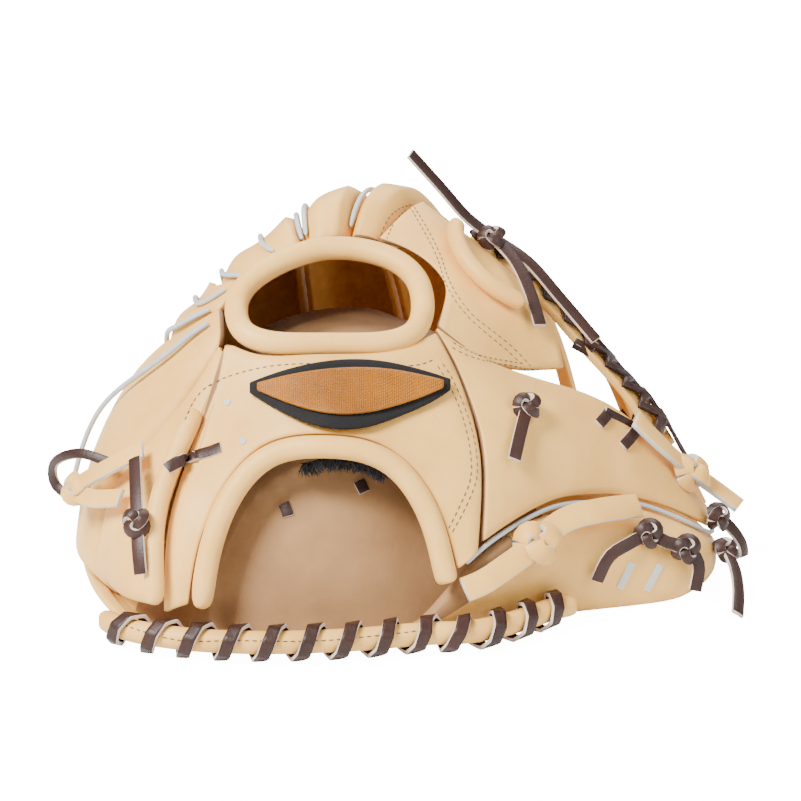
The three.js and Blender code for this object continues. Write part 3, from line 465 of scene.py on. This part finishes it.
TIES = {
    "lace_thumb_back": {
        "routes": [[(53.2, 62.8, 87.5), (50.2, 51.8, 80.5), (47.2, 41.3, 71.5)]],
        "knots": [(53.5, 63, 88.5)], "up": (0.35, -0.6, 0.7), "size": LACE,
    },
    "lace_thumb_side": {
        "routes": [
            [(105.2, 57.7, 32.9), (96.2, 50.2, 30.9), (87.7, 45.2, 26.9), (82.7, 44.2, 16.4)],
            [
                (105.2, 57.7, 32.9), (113.2, 55.7, 29.4), (121.2, 57.7, 26.4),
                (126.7, 57.2, 18.9), (125.2, 54.2, 8),
            ],
        ],
        "knots": [(105.2, 56, 33.4), (121.5, 57, 26)], "up": (0.3, -0.9, 0.3), "size": LACE,
    },
    "lace_tip_upper": {
        "routes": [[(138.9, 97.2, 26), (145.4, 99.2, 19), (149.8, 99.8, 12), (150.6, 99.6, 6.5)]],
        "knots": [(138.9, 96.5, 26)], "up": (0.7, -0.6, 0.3), "size": LACE,
    },
    "lace_tip_lower": {
        "routes": [[(141.4, 84.7, 15), (143.9, 72.7, 11), (143.9, 56.7, 7), (141.9, 38.7, 3.5)]],
        "knots": [(141.4, 85.2, 15.5)], "up": (0.5, -0.3, 0.8), "size": LACE,
    },
    "lace_pinky": {
        "routes": [[
            (-110.2, 41.6, 72), (-108.8, 26.6, 63), (-107.8, 15.6, 53),
            (-106.8, 7.6, 43.5), (-105.8, 3.6, 35),
        ]],
        "knots": [(-108.3, 13.6, 54)], "up": (-0.4, -0.8, 0.5), "size": LACE,
    },
    "lace_loop": {
        "routes": [[
            (-120.6, 58.6, 63.5), (-135.6, 66.6, 65.5), (-147.6, 78.6, 57.5),
            (-148.6, 82.6, 46.5), (-141.6, 76.6, 42.5),
        ]],
        "knots": [], "up": (-0.3, -0.8, 0.5), "size": (4.4, 1.8),
    },
    "web_knot": {
        "routes": [
            [(4.2, 145.2, 176.8), (17.2, 146.2, 161.8), (29.2, 146.2, 147.8), (41.2, 144.2, 138.8)],
            [(41.2, 144.2, 138.8), (50.2, 134.2, 130.8), (56.2, 121.2, 120.8), (60.2, 107.2, 109.8)],
            [(41.2, 144.2, 138.8), (56.2, 137.2, 129.8), (70.2, 127.2, 115.8), (85.2, 118.2, 99.8)],
        ],
        "knots": [(40.6, 143, 140)], "up": (0.2, -0.5, 0.8), "size": LACE,
    },
}
THONGS = {
    "thong_heel": {
        "routes": [[
            (26.2, 10.7, 25.3), (34.2, 14.7, 27.3), (43.2, 20.7, 31.3), (54.2, 29.7, 36.3),
            (68.2, 42.7, 43.8), (84.2, 51.7, 45.3), (101.2, 65.7, 42.3),
        ]],
        "knots": [(57.2, 31, 39.3)], "up": (0.2, -0.75, 0.6), "size": THONG,
    },
    "thong_thumb": {
        "routes": [[
            (101.8, 101.9, 69.2), (113.8, 101.9, 57.2), (127.8, 108.9, 42.7),
            (138.8, 109.9, 34.2), (148.8, 106.9, 27.2),
        ]],
        "knots": [(127.8, 107.9, 43.7)], "up": (0.5, -0.3, 0.8), "size": THONG,
    },
    "thong_pinky": {
        "routes": [[
            (-107.2, 45.7, 74.4), (-120.2, 49.7, 66.4), (-137.2, 64.7, 51.4),
            (-130.2, 52.7, 50.4), (-116.2, 37.7, 55.9),
        ]],
        "knots": [(-137.7, 63.7, 51.4)], "up": (-0.6, -0.5, 0.6), "size": (8, 2.2),
    },
}


def tie(name, facts, colours, knot_share):
    bm = bmesh.new()
    width, thick = (size * MM for size in facts["size"])
    for rows in facts["routes"]:
        ribbon(bm, *lace_line(rows, facts["up"]), width, thick)
    for row in facts["knots"]:
        knot(bm, at(*row), knot_share * width, facts["up"], 0.8 * width, thick)
    piece = new_piece(f"{name}_strip", bm, colours)
    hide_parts(name)
    return piece


for name, facts in TIES.items():
    tie(name, facts, [BROWN, PALE_EDGE], 0.95)
for name, facts in THONGS.items():
    tie(name, facts, [CREAM, GREY_EDGE], 0.72)
print("ties:", len(TIES) + len(THONGS))

# %% [markdown]
# The short laces that lie close on the leather are placed by their pixels in the photograph,
# like the seams: the lace over the pinky roll, the two lace ends in the open back and the slits
# and eyelets that the laces go through.

# %% Surface laces
SURFACE_LACES = {
    "roll_cross_lace": {
        "corners": [(166, 469), (178, 461), (193, 456), (208, 452), (221, 447)], "width": 5.2,
    },
    "inner_lace_left": {"corners": [(283, 503), (286, 509), (288, 516)], "width": 5.0},
    "inner_lace_right": {"corners": [(358, 480), (361, 486), (364, 492)], "width": 5.0},
}
EYELETS = [(227, 402), (242.5, 441)]
EYELET_SIZE = (3.0 * MM, 0.9 * MM)
SLITS = [((619, 588), (632, 562)), ((646, 590), (660, 564))]
SLIT_WIDTH = 3.4


def laid_path(corners, spacing):
    rows = curve_through([Vector((x, y, 0)) for x, y in corners], 4.0)
    spots = [spot for spot in (under_pixel(p.x, p.y) for p in rows) if spot]
    path = curve_through([place + normal * 0.2 * MM for place, normal in spots], spacing)
    ups = [min(spots, key=lambda spot: (spot[0] - point).length)[1] for point in path]
    return path, ups


for name, facts in SURFACE_LACES.items():
    bm = bmesh.new()
    ribbon(bm, *laid_path(facts["corners"], 2.0 * MM), facts["width"] * MM, 1.4 * MM)
    new_piece(name, bm, [BROWN, PALE_EDGE])

holes = bmesh.new()
for x, y in EYELETS:
    place, normal = under_pixel(x, y)
    turn = normal.to_track_quat("Z", "Y").to_matrix().to_4x4()
    bmesh.ops.create_cone(
        holes, cap_ends=True, segments=24, radius1=EYELET_SIZE[0] / 2, radius2=EYELET_SIZE[0] / 2,
        depth=EYELET_SIZE[1], matrix=Matrix.Translation(place) @ turn,
    )
slits = bmesh.new()
for ends in SLITS:
    path, ups = laid_path(ends, 1.5 * MM)
    strip = bmesh.new()
    ribbon(strip, path, ups, SLIT_WIDTH * MM, 0.4 * MM)
    add_into(slits, strip)
new_piece("eyelets", holes, [GREY_EDGE], smooth=False)
new_piece("thumb_slits", slits, [GREY_EDGE, PALE_EDGE], smooth=False)
print("surface laces:", len(SURFACE_LACES), "holes:", len(EYELETS) + len(SLITS))

# %% [markdown]
# The web's lace crosses from post to post. Each crossing is one flat strip over the posts, turned
# to the front with its pale edges showing. Every second strip lies higher, so it passes over its
# neighbours.

# %% Web lattice
LATTICE = [
    ((560, 335), (592, 352)), ((590, 330), (566, 372)), ((566, 360), (612, 388)), ((612, 352), (578, 398)),
    ((582, 386), (634, 416)), ((636, 378), (598, 424)), ((604, 412), (656, 440)), ((660, 402), (622, 446)),
]
LATTICE_LACE = (5.2, 1.3)
WEB_NODES = ("web_post_near", "web_post_middle", "web_post_far", "web_tip_bar", "web_stay_1",
             "web_stay_2", "web_stay_3", "index_panel", "thumb_panel", "palm_shell")
lattice = bmesh.new()
crossings = 0
for row, (start, end) in enumerate(LATTICE):
    rows = [Vector((*start, 0)).lerp(Vector((*end, 0)), k / 12) for k in range(13)]
    spots = [spot for spot in (under_pixel(p.x, p.y, WEB_NODES) for p in rows) if spot]
    nearest = min((eye - place).length for place, _ in spots)
    spots = [spot for spot in spots if (eye - spot[0]).length < nearest + 14 * MM]
    if len(spots) < 4:
        continue
    lift = (0.3 + 1.3 * (row % 2)) * MM
    first, last = spots[0], spots[-1]
    normal = (sum((n for _, n in spots), Vector()).normalized() * 0.4 - VIEW).normalized()
    mid = (first[0] + last[0]) / 2 + normal * lift
    path = curve_through([first[0] + normal * 0.2 * MM, mid, last[0] + normal * 0.2 * MM], 2.5 * MM)
    strip = bmesh.new()
    ribbon(strip, path, [normal] * len(path), LATTICE_LACE[0] * MM, LATTICE_LACE[1] * MM)
    add_into(lattice, strip)
    crossings += 1
new_piece("web_crossings", lattice, [BROWN, PALE_EDGE])
print("web crossings:", crossings, "of", len(LATTICE))

# %% [markdown]
# ## Whip lace and web lace
# The heel's lace winds round the rolled edge, and the web's lace crosses over its three posts.
# Both are long swept strips, so smooth copies of their solids keep their true paths. The heel
# lace's narrow sides take the pale colour of the cut edge. The web's lace is brown all over,
# because the flat strips laid over it carry the pale edges there.


# %% Whip lace
def two_tone(piece, edge_material, narrow):
    """Gives the faces of a flat lace's narrow sides the cut edge's colour."""
    piece.data.materials.append(edge_material)
    for face in piece.data.polygons:
        lengths = sorted(
            (piece.data.vertices[a].co - piece.data.vertices[b].co).length
            for a, b in face.edge_keys
        )
        if lengths[0] < narrow:
            face.material_index = 1


heel_lace = smooth_copy("heel_lace", BROWN, 0.0, 2, 0.7)
two_tone(heel_lace, PALE_EDGE, 2.1 * MM)
web_lace = smooth_copy("web_lattice_lace", BROWN, 0.0, 1, 0.7)
web_roll = smooth_copy("web_roll", CREAM, 0.3, 2, 0.0)
print("wound laces:", len(heel_lace.data.polygons), len(web_lace.data.polygons), "faces")

# %% [markdown]
# ## Fleece and patch
# Black fleece pads the strap along the wrist opening: a soft backing with short tufts all over
# it, and longer ones that hang into the opening behind the rolled lip. Each tuft is a thin cone,
# because single fibres would be too fine to see. The embroidered patch is black felt with gold
# satin stitches laid side by side across a lens.

# %% Fleece
FLEECE = hide("black_fleece", (0.004, 0.004, 0.005), (0.016, 0.015, 0.016), 2200.0, 0.8, (0.85, 1.0), 0.02)
FELT = hide("patch_felt", (0.004, 0.0035, 0.0035), (0.011, 0.010, 0.010), 2600.0, 0.6, (0.85, 1.0), 0.0)
GOLD = hide("gold_thread", (0.22, 0.068, 0.0005), (0.37, 0.128, 0.001), 3000.0, 0.3, (0.4, 0.55), 0.0)

fleece = smooth_copy("strap_fleece", FLEECE, 0.2, 2, 0.0)
random.seed(7)
TUFTS = 5200
TUFT_LENGTH = 2.5 * MM
areas = [face.area for face in fleece.data.polygons]
bm = bmesh.new()
for face in random.choices(fleece.data.polygons, areas, k=TUFTS):
    corners = [fleece.data.vertices[k].co for k in face.vertices]
    weights = [random.random() for _ in corners]
    place = sum((c * w for c, w in zip(corners, weights)), Vector()) / sum(weights)
    lean = Vector((random.gauss(0, 0.8), random.gauss(-0.7, 0.8), random.gauss(-0.9, 0.8)))
    growth = (face.normal + lean * 0.55).normalized()
    length = TUFT_LENGTH * random.uniform(0.4, 1.0)
    turn = growth.to_track_quat("Z", "Y").to_matrix().to_4x4()
    bmesh.ops.create_cone(
        bm, cap_ends=False, segments=3, radius1=0.32 * MM, radius2=0.05 * MM, depth=length,
        matrix=Matrix.Translation(place + growth * length * 0.45) @ turn,
    )
FLEECE_EDGE = [(228, 590), (236, 548), (250, 512), (270, 484), (298, 467), (330, 459), (362, 463), (384, 474)]
ARCH_MIDDLE = (322, 580)
HANGING = 2600
HANG_LENGTH = (4.0 * MM, 10.0 * MM)
edge = curve_through([Vector((x, y, 0)) for x, y in FLEECE_EDGE], 1.5)
centre = Vector((*ARCH_MIDDLE, 0))
hung = 0
for _ in range(HANGING):
    share = random.random() ** 1.35
    spot = edge[min(len(edge) - 1, int(share * len(edge)))]
    outward = (spot - centre).normalized()
    found = under_pixel(*(spot + outward * 7)[:2], ["wrist_binding"])
    if not found:
        continue
    inward = (right * -outward.x + above * outward.y).normalized()
    root = found[0] + VIEW * (7.0 + random.uniform(-1.5, 3.0)) * MM + inward * 2.5 * MM
    growth = (inward + Vector([random.gauss(0, 0.45) for _ in range(3)])).normalized()
    length = random.uniform(*HANG_LENGTH) * (1.0 - 0.45 * share)
    turn = growth.to_track_quat("Z", "Y").to_matrix().to_4x4()
    bmesh.ops.create_cone(
        bm, cap_ends=False, segments=3, radius1=0.40 * MM, radius2=0.06 * MM, depth=length,
        matrix=Matrix.Translation(root + growth * length * 0.5) @ turn,
    )
    hung += 1
new_piece("fleece_tufts", bm, [FLEECE], smooth=False)
print("tufts on the strap:", TUFTS, "hanging:", hung)

# %% [markdown]
# The patch's gold is sewn in columns of satin stitches. A ray down onto the gold lens finds where
# each column starts and ends, and short rounded threads fill it, so the columns catch the light.

# %% Patch
patch_base = smooth_copy("strap_patch_base", FELT, 0.0, 2, 0.6)
patch_face = smooth_copy("strap_patch_face", GOLD, 0.0, 2, 0.6)

SATIN_PITCH = 0.9 * MM
SATIN_SIZE = (0.42 * MM, 0.3 * MM)
bpy.context.view_layer.update()
graph = bpy.context.evaluated_depsgraph_get()
gold_tree = BVHTree.FromObject(patch_face, graph)
gold_low, gold_high = [
    Vector(pick(vert.co[axis] for vert in patch_face.data.vertices) for axis in range(3))
    for pick in (min, max)
]
satin = bmesh.new()
columns = int((gold_high.x - gold_low.x) / SATIN_PITCH)
for column in range(1, columns):
    x = gold_low.x + column * SATIN_PITCH
    places = []
    for step in range(41):
        y = gold_low.y + (gold_high.y - gold_low.y) * step / 40
        hit = gold_tree.ray_cast(Vector((x, y, gold_high.z + 0.05)), Vector((0, 0, -1)))
        if hit[0] is not None and hit[1].z > 0.2:
            places.append(hit[:2])
    if len(places) < 3:
        continue
    for (a, up), (b, _) in zip(places[::2], places[2::2]):
        along = (b - a).normalized()
        side = up.cross(along).normalized()
        turn = Matrix((along, side, along.cross(side))).transposed().to_4x4()
        size = Matrix.Diagonal(((b - a).length * 0.56, SATIN_SIZE[0], SATIN_SIZE[1], 1))
        bmesh.ops.create_icosphere(
            satin, subdivisions=1, radius=1, matrix=Matrix.Translation((a + b) / 2) @ turn @ size,
        )
new_piece("patch_satin", satin, [GOLD])
print("satin columns:", columns)

# %% [markdown]
# ## Floor and light
# The photograph was taken on white with large soft lights, so the shadows are faint. A pale
# floor, a broad light from the upper left and a fill from the right repeat that.

# %% Floor and light
FLOOR_GLOW = 14.0
STUDIO_LIGHT = 0.34
BACKDROP_LIGHT = 30.0
bm = bmesh.new()
bmesh.ops.create_grid(bm, x_segments=1, y_segments=1, size=3)
floor_mesh = bpy.data.meshes.new("floor")
bm.to_mesh(floor_mesh)
bm.free()
floor = bpy.data.objects.new("floor", floor_mesh)
bpy.context.scene.collection.objects.link(floor)
white_floor, nodes, links, floor_shader, _ = tree_of("white_floor")
floor_shader.inputs["Base Color"].default_value = (0.95, 0.95, 0.95, 1)
floor_shader.inputs["Roughness"].default_value = 0.9
floor_shader.inputs["Emission Color"].default_value = (1, 1, 1, 1)
glow = nodes.new("ShaderNodeMath")
glow.operation = "MULTIPLY"
glow.inputs[1].default_value = FLOOR_GLOW
links.new(nodes.new("ShaderNodeLightPath").outputs["Is Camera Ray"], glow.inputs[0])
links.new(glow.outputs["Value"], floor_shader.inputs["Emission Strength"])
floor_mesh.materials.append(white_floor)

LIGHTS = {
    "key": {"place": (-1.0, -0.9, 1.5), "power": 112, "size": 0.7},
    "fill": {"place": (1.3, -1.0, 1.0), "power": 22, "size": 1.4},
    "back": {"place": (0.2, 1.3, 1.6), "power": 40, "size": 1.4},
}
for name, facts in LIGHTS.items():
    lamp = bpy.data.lights.new(name, "AREA")
    lamp.energy = facts["power"]
    lamp.size = facts["size"]
    light = bpy.data.objects.new(name, lamp)
    bpy.context.scene.collection.objects.link(light)
    light.location = facts["place"]
    light.rotation_euler = (TARGET - light.location).to_track_quat("-Z", "Y").to_euler()

world = bpy.data.worlds.new("studio")
bpy.context.scene.world = world
world.use_nodes = True
tree = world.node_tree
seen = tree.nodes.new("ShaderNodeLightPath").outputs["Is Camera Ray"]
strength = tree.nodes.new("ShaderNodeMix")
strength.inputs["A"].default_value = STUDIO_LIGHT
strength.inputs["B"].default_value = BACKDROP_LIGHT
tree.links.new(seen, strength.inputs["Factor"])
backdrop = tree.nodes["Background"]
backdrop.inputs["Color"].default_value = (1, 1, 1, 1)
tree.links.new(strength.outputs["Result"], backdrop.inputs["Strength"])
print("lights:", len(LIGHTS))

# %% Update
bpy.context.view_layer.update()
